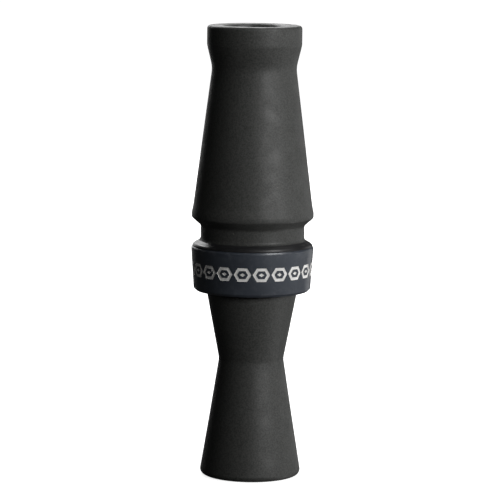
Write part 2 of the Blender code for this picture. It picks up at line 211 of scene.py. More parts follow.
def rounded(corner, before, after, radius):
    """The points of the arc that rounds a corner, in the order that the outline runs."""
    into, out_of = (before - corner).normalized(), (after - corner).normalized()
    half_angle = into.angle(out_of) / 2
    centre = corner + (into + out_of).normalized() * (radius / math.sin(half_angle))
    start = corner + into * (radius / math.tan(half_angle)) - centre
    end = corner + out_of * (radius / math.tan(half_angle)) - centre
    turn = math.atan2(start.cross(end), start.dot(end))
    steps = max(3, math.ceil(abs(turn) / ARC_STEP))
    return [centre + Matrix.Rotation(turn * i / steps, 2) @ start for i in range(steps + 1)]


def outline(corners):
    """The points of a closed outline whose corners are (x, y) or (x, y, rounding radius)."""
    places = [Vector(corner[:2]) for corner in corners]
    points = []
    for i, corner in enumerate(corners):
        if len(corner) < 3:
            points.append(places[i])
            continue
        following = places[(i + 1) % len(places)]
        points += rounded(places[i], places[i - 1], following, corner[2])
    return points


def stepped(points, longest):
    """The outline with its long straight stretches divided."""
    divided = []
    for i, point in enumerate(points):
        following = points[(i + 1) % len(points)]
        steps = max(1, math.ceil((following - point).length / longest))
        divided += [point.lerp(following, step / steps) for step in range(steps)]
    return divided


def linked(name, mesh):
    made = bpy.data.objects.new(name, mesh)
    bpy.context.scene.collection.objects.link(made)
    return made


def drawn(name, shape):
    """An object with the shape's mesh. The shape is used up."""
    mesh = bpy.data.meshes.new(name)
    shape.to_mesh(mesh)
    shape.free()
    return linked(name, mesh)


def applied(piece):
    """Puts the piece's modifiers into its mesh, and returns the mesh."""
    graph = bpy.context.evaluated_depsgraph_get()
    mesh = bpy.data.meshes.new_from_object(piece.evaluated_get(graph))
    piece.modifiers.clear()
    piece.data = mesh
    return mesh


def realised(piece):
    """The piece with its modifiers applied, shaded smooth except at its edges."""
    mesh = applied(piece)
    mesh.name = piece.name
    mesh.shade_smooth()
    mesh.set_sharp_from_angle(angle=SHARP_ANGLE)
    return piece


def turned(name, points, around=AROUND):
    """A solid turned about Z from (radius, height) points, which run down its outside and up its inside."""
    count = len(points)
    on_axis = points[0][0] == 0
    edges = [(i, (i + 1) % count) for i in range(count - on_axis)]
    mesh = bpy.data.meshes.new(name)
    mesh.from_pydata([(radius, 0, height) for radius, height in points], edges, [])
    piece = linked(name, mesh)
    screw = piece.modifiers.new("turn", "SCREW")
    screw.steps = screw.render_steps = around
    screw.use_merge_vertices = True
    screw.merge_threshold = 0.001 * MM
    return realised(piece)


def plate(name, points, thickness, placing):
    """A solid plate with the outline of the points, centred on the plane that placing sets."""
    shape = bmesh.new()
    corners = [shape.verts.new((*point, -thickness / 2)) for point in points]
    face = shape.faces.new(corners)
    raised = bmesh.ops.extrude_face_region(shape, geom=[face])["geom"]
    lift = Vector((0, 0, thickness))
    bmesh.ops.translate(shape, vec=lift, verts=[g for g in raised if isinstance(g, bmesh.types.BMVert)])
    bmesh.ops.recalc_face_normals(shape, faces=shape.faces)
    shape.transform(placing)
    return drawn(name, shape)


def side_view():
    """Places an outline drawn as (out, height) in the plane x = 0."""
    return Matrix(((0, 0, -1), (-1, 0, 0), (0, 1, 0))).to_4x4()


def front_view(out=0.0):
    """Places an outline drawn as (x, height) in the plane that far out."""
    axes = Matrix(((1, 0, 0), (0, 0, -1), (0, 1, 0))).to_4x4()
    return Matrix.Translation((0, -out, 0)) @ axes


def block(name, low, high):
    """A box between two corners."""
    corners = ((low[0], low[2]), (high[0], low[2]), (high[0], high[2]), (low[0], high[2]))
    points = [Vector(corner) for corner in corners]
    return plate(name, points, high[1] - low[1], front_view(-(low[1] + high[1]) / 2))


def cleaned(piece):
    """Merges the points that a cut or a bevel leaves almost in one place."""
    shape = bmesh.new()
    shape.from_mesh(piece.data)
    bmesh.ops.dissolve_degenerate(shape, dist=MERGE_DISTANCE, edges=shape.edges)
    shape.to_mesh(piece.data)
    shape.free()


def shaped(piece, operation, tool, keep_tool_material=False):
    """Cuts the piece with the tool, or joins or crops it, and removes the tool."""
    boolean = piece.modifiers.new(tool.name, "BOOLEAN")
    boolean.operation = operation
    boolean.object = tool
    boolean.solver = "EXACT"
    if keep_tool_material:
        boolean.material_mode = "TRANSFER"
    realised(piece)
    cleaned(piece)
    bpy.data.objects.remove(tool)


def bevelled(piece, width, segments):
    bevel = piece.modifiers.new("edges", "BEVEL")
    bevel.width = width
    bevel.segments = segments
    bevel.limit_method = "ANGLE"
    bevel.angle_limit = SHARP_ANGLE


def flattened(piece):
    """Turns the normals beside small bevels to their large neighbours, so that flat faces are shaded flat."""
    weighted = piece.modifiers.new("normals", "WEIGHTED_NORMAL")
    weighted.keep_sharp = True
    weighted.weight = 100
    applied(piece)


def groove(height, width, floor, surface, easing):
    """A groove in the outside of a turned piece, with eased corners, from the top down."""
    top, bottom = height + width / 2, height - width / 2
    return [(surface, top, easing), (floor, top, easing), (floor, bottom, easing), (surface, bottom, easing)]


# ---------------------------------------------------------------- materials


class Look:
    """A Principled material being put together from procedural nodes. Sizes of detail are in metres."""

    def __init__(self, name):
        self.material = bpy.data.materials.new(name)
        self.material.use_nodes = True
        self.nodes = self.material.node_tree.nodes
        self.shader = self.nodes["Principled BSDF"]
        self.place = self.nodes.new("ShaderNodeTexCoord").outputs["Object"]
        self.normal = None

    def link(self, output, target):
        self.material.node_tree.links.new(output, target)

    def set(self, **values):
        for name, value in values.items():
            self.shader.inputs[name.replace("_", " ")].default_value = value

    def stretched(self, stretch):
        """The place with each axis multiplied, so that detail shrinks along it."""
        mapping = self.nodes.new("ShaderNodeMapping")
        mapping.inputs["Scale"].default_value = stretch
        self.link(self.place, mapping.inputs["Vector"])
        return mapping.outputs["Vector"]

    def noise(self, size, detail=3.0, roughness=0.55, stretch=None):
        made = self.nodes.new("ShaderNodeTexNoise")
        made.inputs["Scale"].default_value = 1 / size
        made.inputs["Detail"].default_value = detail
        made.inputs["Roughness"].default_value = roughness
        self.link(self.stretched(stretch) if stretch else self.place, made.inputs["Vector"])
        return made.outputs["Fac"]

    def cells(self, size, feature="F1", output="Distance", stretch=None):
        made = self.nodes.new("ShaderNodeTexVoronoi")
        made.feature = feature
        made.inputs["Scale"].default_value = 1 / size
        self.link(self.stretched(stretch) if stretch else self.place, made.inputs["Vector"])
        return made.outputs[output]

    def attribute(self, name):
        made = self.nodes.new("ShaderNodeAttribute")
        made.attribute_name = name
        return made.outputs["Fac"]

    def ramp(self, value, low, high, to_low=0.0, to_high=1.0):
        """Maps the stretch from low to high to another, smoothly."""
        made = self.nodes.new("ShaderNodeMapRange")
        made.interpolation_type = "SMOOTHSTEP"
        for name, number in (("From Min", low), ("From Max", high), ("To Min", to_low), ("To Max", to_high)):
            made.inputs[name].default_value = number
        self.link(value, made.inputs["Value"])
        return made.outputs["Result"]

    def math(self, operation, first, second):
        made = self.nodes.new("ShaderNodeMath")
        made.operation = operation
        for socket, value in zip(made.inputs, (first, second)):
            if isinstance(value, (int, float)):
                socket.default_value = value
            else:
                self.link(value, socket)
        return made.outputs[0]

    def mix(self, share, first, second):
        """Mixes two colours, each an output or an (r, g, b)."""
        made = self.nodes.new("ShaderNodeMix")
        made.data_type = "RGBA"
        self.link(share, made.inputs["Factor"])
        for socket, colour in ((made.inputs[6], first), (made.inputs[7], second)):
            if isinstance(colour, tuple):
                socket.default_value = (*colour, 1.0)
            else:
                self.link(colour, socket)
        return made.outputs[2]

    def bump(self, height, depth, strength=1.0):
        """Raises the surface by the height, on top of the bumps given before."""
        made = self.nodes.new("ShaderNodeBump")
        made.inputs["Distance"].default_value = depth
        made.inputs["Strength"].default_value = strength
        self.link(height, made.inputs["Height"])
        if self.normal:
            self.link(self.normal, made.inputs["Normal"])
        self.normal = made.outputs["Normal"]
        self.link(self.normal, self.shader.inputs["Normal"])

    def colour(self, output):
        self.link(output, self.shader.inputs["Base Color"])

    def roughness(self, output):
        self.link(output, self.shader.inputs["Roughness"])


def soft_touch():
    """Charcoal soft-touch coating: fine matt grain, faint mottling, dust specks and worn edges."""
    look = Look("soft_touch_black")
    look.set(Specular_IOR_Level=0.5)
    cloud = look.ramp(look.noise(14 * MM, detail=4), 0.3, 0.7)
    mottle = look.ramp(look.noise(1.1 * MM, detail=5, roughness=0.7), 0.32, 0.68)
    speckle = look.ramp(look.noise(0.42 * MM, detail=2), 0.34, 0.66)
    base = look.mix(cloud, (0.0234, 0.0247, 0.0231), (0.0294, 0.0307, 0.0289))
    base = look.mix(look.math("MULTIPLY", mottle, 0.5), base, (0.0438, 0.0450, 0.0424))
    base = look.mix(look.math("MULTIPLY", speckle, 0.75), base, (0.0655, 0.0668, 0.0625))
    patches = look.ramp(look.noise(2.2 * MM, detail=5), 0.42, 0.62)
    wear = look.math("MULTIPLY", look.attribute("edge"), patches)
    base = look.mix(look.math("MULTIPLY", wear, 0.55), base, (0.085, 0.087, 0.085))
    specks = look.ramp(look.cells(3.4 * MM), 0.055, 0.03)
    dusty = look.ramp(look.noise(11 * MM, detail=2), 0.60, 0.66)
    dust = look.math("MULTIPLY", specks, dusty)
    look.colour(look.mix(look.math("MULTIPLY", dust, 0.6), base, (0.22, 0.21, 0.18)))
    matt = look.ramp(look.noise(5 * MM, detail=5), 0.3, 0.7, 0.50, 0.60)
    look.roughness(look.math("SUBTRACT", matt, look.math("MULTIPLY", wear, 0.20)))
    look.bump(look.noise(0.9 * MM, detail=4), 0.016 * MM, 0.7)
    look.bump(look.noise(0.4 * MM, detail=3), 0.012 * MM, 0.8)
    scuff = look.ramp(look.noise(1.2 * MM, detail=4, stretch=(1.0, 1.0, 7.0)), 0.70, 0.76)
    look.bump(scuff, 0.010 * MM, 0.4)
    return look.material


def bored_and_shade_plastic():
    """The uncoated satin black of the bore, the socket and the tenon, with the fine rings of a tool, and of
    the flange's sloping side, whose darker colour is partly painted shade.
    """
    look = Look("bored_and_shade_plastic")
    look.set(Specular_IOR_Level=0.45)
    shade = look.ramp(look.noise(4 * MM, detail=4), 0.3, 0.7)
    look.colour(look.mix(shade, (0.014, 0.014, 0.015), (0.024, 0.024, 0.025)))
    rings = look.noise(3 * MM, detail=4, stretch=(0.3, 0.3, 18.0))
    look.roughness(look.ramp(rings, 0.3, 0.7, 0.30, 0.42))
    look.bump(rings, 0.012 * MM, 0.6)
    look.bump(look.noise(0.2 * MM), 0.003 * MM, 0.5)
    return look.material


def anodised():
    """Dark anodising with a cold cast over turned aluminium, with faint turning lines and hairlines."""
    look = Look("anodised_band")
    look.set(Metallic=0.1, Specular_IOR_Level=0.7, Coat_Weight=0.3, Coat_Roughness=0.12)
    lines = look.noise(1.6 * MM, detail=5, stretch=(0.25, 0.25, 16.0))
    shade = look.ramp(look.noise(9 * MM, detail=3), 0.3, 0.7)
    base = look.mix(shade, (0.037, 0.045, 0.059), (0.043, 0.052, 0.068))
    patches = look.ramp(look.noise(1.6 * MM, detail=5), 0.45, 0.65)
    wear = look.math("MULTIPLY", look.attribute("edge"), patches)
    look.colour(look.mix(look.math("MULTIPLY", wear, 0.45), base, (0.30, 0.31, 0.33)))
    look.roughness(look.ramp(lines, 0.3, 0.7, 0.40, 0.48))
    look.bump(lines, 0.0022 * MM, 0.5)
    hairline = look.ramp(look.noise(3.5 * MM, detail=3, stretch=(0.6, 0.6, 9.0)), 0.655, 0.665)
    look.bump(hairline, 0.0015 * MM, 0.5)
    return look.material


def etched_metal():
    """Bare aluminium at the bottom of the engraving, frosted by the cutter."""
    look = Look("etched_aluminium")
    look.set(Metallic=0.12)
    grain = look.noise(0.22 * MM, detail=3)
    shade = look.ramp(look.noise(1.8 * MM, detail=4), 0.32, 0.68)
    look.colour(look.mix(shade, (0.84, 0.83, 0.81), (0.98, 0.97, 0.95)))
    look.roughness(look.ramp(grain, 0.3, 0.7, 0.42, 0.58))
    look.bump(grain, 0.012 * MM, 0.7)
    return look.material


def board_plastic():
    """Moulded black plastic, glossy on the face and with faint flow marks."""
    look = Look("tone_board_black")
    look.set(Specular_IOR_Level=0.5)
    flow = look.noise(6 * MM, detail=4, stretch=(1.6, 1.6, 0.5))
    look.colour(look.mix(look.ramp(flow, 0.3, 0.7), (0.010, 0.010, 0.011), (0.022, 0.022, 0.024)))
    fine = look.noise(0.5 * MM, detail=4)
    look.roughness(look.ramp(fine, 0.3, 0.7, 0.24, 0.36))
    look.bump(flow, 0.02 * MM, 0.4)
    look.bump(fine, 0.002 * MM, 0.5)
    return look.material


def seal_rubber():
    """Black rubber with a trace of grease and lint."""
    look = Look("seal_rubber")
    look.set(Specular_IOR_Level=0.5)
    grime = look.ramp(look.noise(0.7 * MM, detail=4), 0.35, 0.7)
    look.colour(look.mix(grime, (0.011, 0.011, 0.011), (0.022, 0.021, 0.020)))
    look.roughness(look.ramp(look.noise(1.6 * MM, detail=3), 0.35, 0.65, 0.32, 0.55))
    look.bump(look.noise(0.12 * MM), 0.004 * MM, 0.6)
    return look.material


def reed_film():
    """Milky polyester film, brushed along its length."""
    look = Look("reed_film")
    look.set(Transmission_Weight=0.30, IOR=1.5, Specular_IOR_Level=0.5)
    brushed = look.noise(0.35 * MM, detail=4, stretch=(1.0, 1.0, 0.03))
    haze = look.ramp(look.noise(5 * MM, detail=4), 0.3, 0.7)
    base = look.mix(haze, (0.70, 0.71, 0.66), (0.80, 0.81, 0.77))
    look.colour(look.mix(look.ramp(brushed, 0.35, 0.65, 0.0, 0.18), base, (0.90, 0.90, 0.87)))
    look.roughness(look.ramp(brushed, 0.3, 0.7, 0.26, 0.42))
    look.bump(brushed, 0.003 * MM, 0.5)
    return look.material


def cork():
    """Natural cork: pale grains with darker edges, and dark pores along the growth."""
    look = Look("cork")
    look.set(Specular_IOR_Level=0.2)
    grain = look.cells(0.75 * MM, output="Color", stretch=(1.0, 1.0, 0.7))
    tone = look.nodes.new("ShaderNodeSeparateColor")
    look.link(grain, tone.inputs[0])
    base = look.mix(tone.outputs[0], (0.50, 0.31, 0.16), (0.66, 0.45, 0.26))
    to_edge = look.cells(0.75 * MM, feature="DISTANCE_TO_EDGE", stretch=(1.0, 1.0, 0.7))
    edges = look.ramp(to_edge, 0.10, 0.02)
    base = look.mix(look.math("MULTIPLY", edges, 0.5), base, (0.33, 0.18, 0.08))
    pores = look.ramp(look.noise(1.3 * MM, detail=4, stretch=(1.0, 1.0, 0.35)), 0.60, 0.68)
    look.colour(look.mix(pores, base, (0.13, 0.065, 0.03)))
    look.roughness(look.ramp(look.noise(1.0 * MM), 0.3, 0.7, 0.78, 0.92))
    look.bump(look.math("SUBTRACT", look.noise(0.3 * MM, detail=4), pores), 0.05 * MM, 0.8)
    return look.material


def mark_edges(piece, full_turn=math.radians(24)):
    """Stores how sharply the surface turns outwards at each point, for wear that follows the edges."""
    shape = bmesh.new()
    shape.from_mesh(piece.data)
    turns = []
    for vert in shape.verts:
        angles = [edge.calc_face_angle_signed(0.0) for edge in vert.link_edges if len(edge.link_faces) == 2]
        turns.append(min(1.0, max(0.0, *angles) / full_turn) if angles else 0.0)
    attribute = piece.data.attributes.new("edge", "FLOAT", "POINT")
    attribute.data.foreach_set("value", turns)
    shape.free()


def coated(piece, *materials):
    """Gives the piece its materials, the first of them on every face."""
    for material in materials:
        piece.data.materials.append(material)


def finished(piece, replaced, body=None):
    """Hides the CAD node that a piece replaces and, unless it bends between two, attaches the piece to its
    body.
    """
    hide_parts(replaced)
    if body:
        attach(piece, body)


def second_material_where(piece, test):
    """Gives the faces whose centre passes the test the piece's second material."""
    for face in piece.data.polygons:
        face.material_index = 1 if test(Vector(face.center)) else 0


# ---------------------------------------------------------------- the pieces


def make_barrel():
    """The mouthpiece: lip, waist, long taper, lanyard groove, flange, and the spigot inside the band."""
    flange_underside = band_top + FIT_GAP
    outside = [
        (LIP_RADIUS, overall_length, 1.0 * MM),
        (LIP_RADIUS, LIP_FOOT, 5.0 * MM),
        (WAIST_RADIUS, WAIST_HEIGHT, 8.0 * MM),
        (TAPER_RADIUS, TAPER_FOOT, 10.0 * MM),
        (SHOULDER_RADIUS, SHOULDER_TOP, 2.5 * MM),
        (SHOULDER_RADIUS, SHOULDER_FOOT, 0.9 * MM),
        (GROOVE_RADIUS, GROOVE_TOP, 1.2 * MM),
        (GROOVE_RADIUS, GROOVE_FOOT, 1.4 * MM),
        (FLANGE_RADIUS - FLANGE_CHAMFER[0], flange_underside + FLANGE_CHAMFER[1], 0.4 * MM),
        (FLANGE_RADIUS, flange_underside + FLANGE_EDGE, 0.06 * MM),
        (FLANGE_RADIUS - FLANGE_UNDERCUT, flange_underside, 0.03 * MM),
    ]
    spigot_radius = BAND_WALL_INSIDE - FIT_GAP
    spigot_end = band_bottom + BAND_FLOOR + FIT_GAP
    spigot = [
        (spigot_radius, flange_underside, 0.1 * MM),
        (spigot_radius, spigot_end, 0.4 * MM),
    ]
    bore = [
        (BORE_RADIUS, spigot_end, BORE_CHAMFER),
        (BORE_RADIUS, overall_length, 2.0 * MM),
    ]
    points = stepped(outline(outside + spigot + bore), 3 * MM)
    piece = turned("barrel_body", points)
    mark_edges(piece)
    coated(piece, SOFT_TOUCH, BORED_AND_SHADE)

    def uncoated(at):
        radius = at.xy.length
        # the flange's sloping side gets the darker satin black: glossier, and darker as painted shade
        satin_and_shade = at.z < SATIN_SHADE_TOP and radius > SATIN_SHADE_INSIDE
        return radius < BORE_RADIUS + BORE_CHAMFER or at.z < band_top or satin_and_shade

    second_material_where(piece, uncoated)
    finished(piece, "barrel", body="barrel")


def band_radius(height):
    """The radius of the band's outer face at a height."""
    low, high = band_bottom + BAND_LOW_CHAMFER, band_top - BAND_TOP_CHAMFER
    return BAND_LOW_RADIUS + (band_top_radius - BAND_LOW_RADIUS) * (height - low) / (high - low)


def wrapped(across, height, depth):
    """A point of the engraving: so far round the band, at a height, and that far below its face."""
    radius = band_radius(height) - depth
    angle = across / band_radius(ENGRAVING_MIDDLE)
    return Vector((radius * math.sin(angle), -radius * math.cos(angle), height))


def prism(shape, points, hole=None):
    """Adds one mark's cutter to the shape: a loop of (across, height) points, or a ring round a hole."""
    count = len(points)
    layers = [ENGRAVING_DEPTH, -CUTTER_PROUD]
    outer = [[shape.verts.new(wrapped(*point, depth)) for point in points] for depth in layers]
    if hole:
        inner = [[shape.verts.new(wrapped(*point, depth)) for point in hole] for depth in layers]
    else:
        middle = sum(points, Vector((0, 0))) / count
        inner = [[shape.verts.new(wrapped(*middle, depth))] * count for depth in layers]
    for i in range(count):
        j = (i + 1) % count
        shape.faces.new((outer[0][i], outer[0][j], outer[1][j], outer[1][i]))
        if hole:
            shape.faces.new((inner[0][j], inner[0][i], inner[1][i], inner[1][j]))
        for layer in (0, 1):
            loop = [outer[layer][i], outer[layer][j], inner[layer][j], inner[layer][i]]
            if not hole:
                loop.pop()
            shape.faces.new(loop if layer else loop[::-1])


def hexagon(middle, half_width, half_height, point):
    """A hexagon with level sides and a point at each end, with its long sides divided to follow the band."""
    corners = [
        Vector((middle - half_width, 0)),
        Vector((middle - half_width + point, -half_height)),
        Vector((middle + half_width - point, -half_height)),
        Vector((middle + half_width, 0)),
        Vector((middle + half_width - point, half_height)),
        Vector((middle - half_width + point, half_height)),
    ]
    points = []
    for i, corner in enumerate(corners):
        steps = 5 if i in (1, 4) else 2
        points += [corner.lerp(corners[(i + 1) % 6], step / steps) for step in range(steps)]
    return [point + Vector((0, ENGRAVING_MIDDLE)) for point in points]


def lozenge(middle, half_width, half_height):
    """A lozenge with a point at each side, with its sides divided to follow the band."""
    corners = [(-half_width, 0), (0, -half_height), (half_width, 0), (0, half_height)]
    points = []
    for i, corner in enumerate(corners):
        start, end = Vector(corner), Vector(corners[(i + 1) % 4])
        points += [start.lerp(end, step / 2) for step in range(2)]
    return [point + Vector((middle, ENGRAVING_MIDDLE)) for point in points]


def make_engraving_cutter():
    """A plain geometric frieze: a row of hollow hexagons, each round a lozenge."""
    shape = bmesh.new()
    pitch = 2 * math.pi * band_radius(ENGRAVING_MIDDLE) / ENGRAVING_CELLS
    half_height = ENGRAVING_HEIGHT / 2
    half_width = pitch * 0.465
    point = half_height * 0.6
    slanted = ENGRAVING_STROKE * math.hypot(point, half_height) / half_height
    inner_half_height = half_height - ENGRAVING_STROKE
    inner_point = point * inner_half_height / half_height
    lozenge_half_width, lozenge_half_height = pitch * 0.15, half_height * 0.27
    for i in range(ENGRAVING_CELLS):
        middle = pitch * (i + 0.5)
        outer = hexagon(middle, half_width, half_height, point)
        inner = hexagon(middle, half_width - slanted, inner_half_height, inner_point)
        prism(shape, outer, inner)
        prism(shape, lozenge(middle, lozenge_half_width, lozenge_half_height))
    bmesh.ops.recalc_face_normals(shape, faces=shape.faces)
    cutter = drawn("engraving", shape)
    coated(cutter, ETCHED)
    return cutter


def make_band():
    """The glossy collar, a cup round the barrel's end, with the frieze cut into it."""
    easing = 0.12 * MM
    corners = [
        (band_top_radius - BAND_TOP_CHAMFER, band_top, 0.3 * MM),
        (band_top_radius, band_top - BAND_TOP_CHAMFER, 0.3 * MM),
        (BAND_LOW_RADIUS, band_bottom + BAND_LOW_CHAMFER, easing),
        (BAND_LOW_RADIUS - BAND_LOW_CHAMFER, band_bottom, easing),
        (BAND_HOLE_RADIUS, band_bottom, 0.2 * MM),
        (BAND_HOLE_RADIUS, band_bottom + BAND_FLOOR, 0.2 * MM),
        (BAND_WALL_INSIDE, band_bottom + BAND_FLOOR, 0.2 * MM),
        (BAND_WALL_INSIDE, band_top, 0.2 * MM),
    ]
    piece = turned("band_collar", outline(corners), around=320)
    coated(piece, ANODISED)
    mark_edges(piece)
    shaped(piece, "DIFFERENCE", make_engraving_cutter(), keep_tool_material=True)
    finished(piece, "band", body="barrel")


def exhaust_flare(steps=28):
    """The bell's inside, from the rounded rim up to the straight exhaust bore."""
    opening = BELL_INSIDE - EXHAUST_RADIUS
    points = []
    for i in range(1, steps + 1):
        share = i / steps
        radius = EXHAUST_RADIUS + opening * (1 - share) ** 1.5
        points.append((radius, EXHAUST_FLARE_TOP * share))
    return points


def make_stopper():
    """The lower body: a tenon with two seal grooves, a tapered neck, the throat and the bell."""
    seat = band_bottom - SEAT_GAP
    tenon = [(TENON_RADIUS, tenon_top, 0.5 * MM)]
    for name in ("stopper_o_ring_upper", "stopper_o_ring_lower"):
        low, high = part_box(name)
        height = (low.z + high.z) / 2
        tenon += groove(height, SEAL_GROOVE_WIDTH, SEAL_GROOVE_RADIUS, TENON_RADIUS, 0.12 * MM)
    outside = [
        (TENON_RADIUS, seat, 0.15 * MM),
        (NECK_RADIUS, seat, 0.35 * MM),
        (THROAT_OUTSIDE, THROAT_HEIGHT, 5.0 * MM),
        (BELL_BEND_RADIUS, BELL_BEND_HEIGHT, 40.0 * MM),
        (bell_radius + BELL_CORNER, 0.0, 1.5 * MM),
        (BELL_INSIDE, 0.0, 0.8 * MM),
    ]
    inside = [
        (EXHAUST_RADIUS, SOCKET_FLOOR, 0.2 * MM),
        (SOCKET_RADIUS, SOCKET_FLOOR, 0.2 * MM),
        (SOCKET_RADIUS, tenon_top, 0.4 * MM),
    ]
    points = stepped(outline(tenon + outside + exhaust_flare() + inside), 2.5 * MM)
    piece = turned("stopper_body", points)
    half = KEY_WIDTH / 2 + KEY_GAP
    notch = block(
        "key_notch",
        (-half, SOCKET_RADIUS - 1 * MM, tenon_top - KEY_DEPTH - KEY_GAP),
        (half, TENON_RADIUS + 1 * MM, tenon_top + 1 * MM),
    )
    shaped(piece, "DIFFERENCE", notch)
    mark_edges(piece)
    coated(piece, SOFT_TOUCH, BORED_AND_SHADE)

    def uncoated(at):
        return at.z > seat or at.z > COATED_INSIDE and at.xy.length < UNCOATED_RADIUS

    second_material_where(piece, uncoated)
    finished(piece, "stopper", body="stopper")


def make_ring(node, body):
    """An O-ring, with the faint moulding line round its outside."""
    low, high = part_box(node)
    half_height = (high.z - low.z) / 2
    cad_section_radius = half_height / math.cos(math.pi / 8)  # of its corners, for it is an octagon
    section_radius = cad_section_radius * 0.97  # slimmer, to leave room for the moulding line
    middle_radius = high.x - half_height
    height = (low.z + high.z) / 2
    flash = 0.02 * MM
    sides = 24
    points = []
    for i in range(sides):
        angle = -2 * math.pi * i / sides
        reach = section_radius + (0.0 if i else flash)
        points.append((middle_radius + reach * math.cos(angle), height + reach * math.sin(angle)))
    piece = turned(node + "_seal", points, around=160)
    coated(piece, RUBBER)
    finished(piece, node, body=body)


def face_curve(steps=40):
    """The tone board's face from where it leaves the flat to past the tip, as (out, height) points."""
    end = board_top + 2 * MM
    bend = FACE_DROP / (board_top - FACE_CURVE_START) ** 2
    points = []
    for i in range(steps + 1):
        along = (end - FACE_CURVE_START) * i / steps
        points.append((FACE_OUT - bend * along**2, FACE_CURVE_START + along))
    return points


def turned_board():
    """The tone board as it comes off the lathe: a shank with its seal groove, a collar and a round bar."""
    underside = tenon_top + COLLAR_GAP
    body_radius = collar_radius - COLLAR_STEP
    low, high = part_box("tone_board_o_ring")
    seal_height = (low.z + high.z) / 2
    outside = [
        (0, board_top),
        (body_radius, board_top),
        (body_radius, ROOF_END + 0.8 * MM),
        (collar_radius, ROOF_END + 0.3 * MM),
        (collar_radius, underside, 0.25 * MM),
        (SHANK_RADIUS, underside, 0.2 * MM),
        *groove(seal_height, BOARD_SEAL_GROOVE_WIDTH, BOARD_SEAL_GROOVE_RADIUS, SHANK_RADIUS, 0.1 * MM),
        (SHANK_RADIUS, board_bottom, 0.5 * MM),
    ]
    inside = [
        (BOARD_BORE_RADIUS, board_bottom, 0.2 * MM),
        (BOARD_BORE_RADIUS, BOARD_BORE_TOP),
        (0, BOARD_BORE_TOP),
    ]
    return turned("tone_board_body", outline(outside + inside), around=128)


def make_tone_board():
    """The board that the reeds beat on: shank, collar with the ledge over the wedge, face and channel."""
    piece = turned_board()
    beyond = 12 * MM
    key = block(
        "key",
        (-KEY_WIDTH / 2, SOCKET_RADIUS + 0.3 * MM, tenon_top - KEY_DEPTH),
        (KEY_WIDTH / 2, collar_radius - 0.3 * MM, COLLAR_TOP - 1 * MM),
    )
    shaped(piece, "UNION", key)

    plan = [
        (-beyond, board_bottom - 5 * MM),
        (beyond, board_bottom - 5 * MM),
        (beyond, BOARD_SHOULDER),
        (BOARD_HALF_WIDTH, BOARD_SHOULDER, 1.0 * MM),
        (BOARD_HALF_WIDTH, board_top, BOARD_TIP_ROUNDING),
        (-BOARD_HALF_WIDTH, board_top, BOARD_TIP_ROUNDING),
        (-BOARD_HALF_WIDTH, BOARD_SHOULDER, 1.0 * MM),
        (-beyond, BOARD_SHOULDER),
    ]
    shaped(piece, "INTERSECT", plate("board_plan", outline(plan), 4 * beyond, front_view()))

    above_face = [
        (FACE_OUT, COLLAR_TOP, 0.3 * MM),
        (ROOF_OUT, COLLAR_TOP, 0.8 * MM),
        (ROOF_OUT + ROOF_RISE, ROOF_END),
        (beyond, ROOF_END),
        (beyond, board_top + 2 * MM),
    ]
    side = outline(above_face) + [Vector(point) for point in reversed(face_curve())]
    shaped(piece, "DIFFERENCE", plate("above_face", side, 2 * beyond, side_view()))

    behind_back = [
        (-collar_radius - 0.5 * MM, ROOF_END + 2 * MM),
        (BACK_OUT_AT_TIP, board_top + 1 * MM),
        (-beyond, board_top + 1 * MM),
        (-beyond, ROOF_END + 2 * MM),
    ]
    shaped(piece, "DIFFERENCE", plate("behind_back", outline(behind_back), 2 * beyond, side_view()))

    above_channel = FACE_OUT + 0.6 * MM
    channel = [
        (above_channel, BOARD_BORE_TOP - 4 * MM),
        (0.2 * MM - BOARD_BORE_RADIUS, BOARD_BORE_TOP - 4 * MM),
        (*CHANNEL_BEND, 4.0 * MM),
        (above_channel, CHANNEL_END),
    ]
    trough = plate("channel", outline(channel), CHANNEL_WIDTH, side_view())
    bevelled(trough, 1.0 * MM, segments=6)
    shaped(piece, "DIFFERENCE", realised(trough))
    bevelled(piece, 0.12 * MM, segments=2)
    realised(piece)
    cleaned(piece)
    flattened(piece)
    coated(piece, BOARD)
    finished(piece, "tone_board", body="tone_board")


def reed_half_width_at(height, top):
    """Half a reed's width at a height, which shrinks towards its rounded tip."""
    past = max(0.0, height - (top - REED_TIP_RADIUS))
    return reed_half_width - REED_TIP_RADIUS + math.sqrt(max(0.0, REED_TIP_RADIUS**2 - past**2))


def dimple_at(x, height):
    """How deep the upper reed's dimple is at a point."""
    away = math.hypot(x, height - DIMPLE_HEIGHT) / DIMPLE_RADIUS
    return DIMPLE_DEPTH * (0.5 + 0.5 * math.cos(math.pi * min(1.0, away)))


def reed_side(shape, top, out, dimple):
    """Adds one side of a reed to the shape, as rows of points that lie closer together towards the tip."""
    grid = []
    for i in range(REED_ROWS + 1):
        height = reed_tail + (top - reed_tail) * (1 - (1 - i / REED_ROWS) ** ROW_CROWDING)
        half = reed_half_width_at(height, top)
        row = []
        for j in range(REED_COLUMNS + 1):
            x = half * (2 * j / REED_COLUMNS - 1)
            depth = dimple_at(x, height) if dimple else 0.0
            row.append(shape.verts.new((x, depth - out, height)))
        grid.append(row)
    return grid


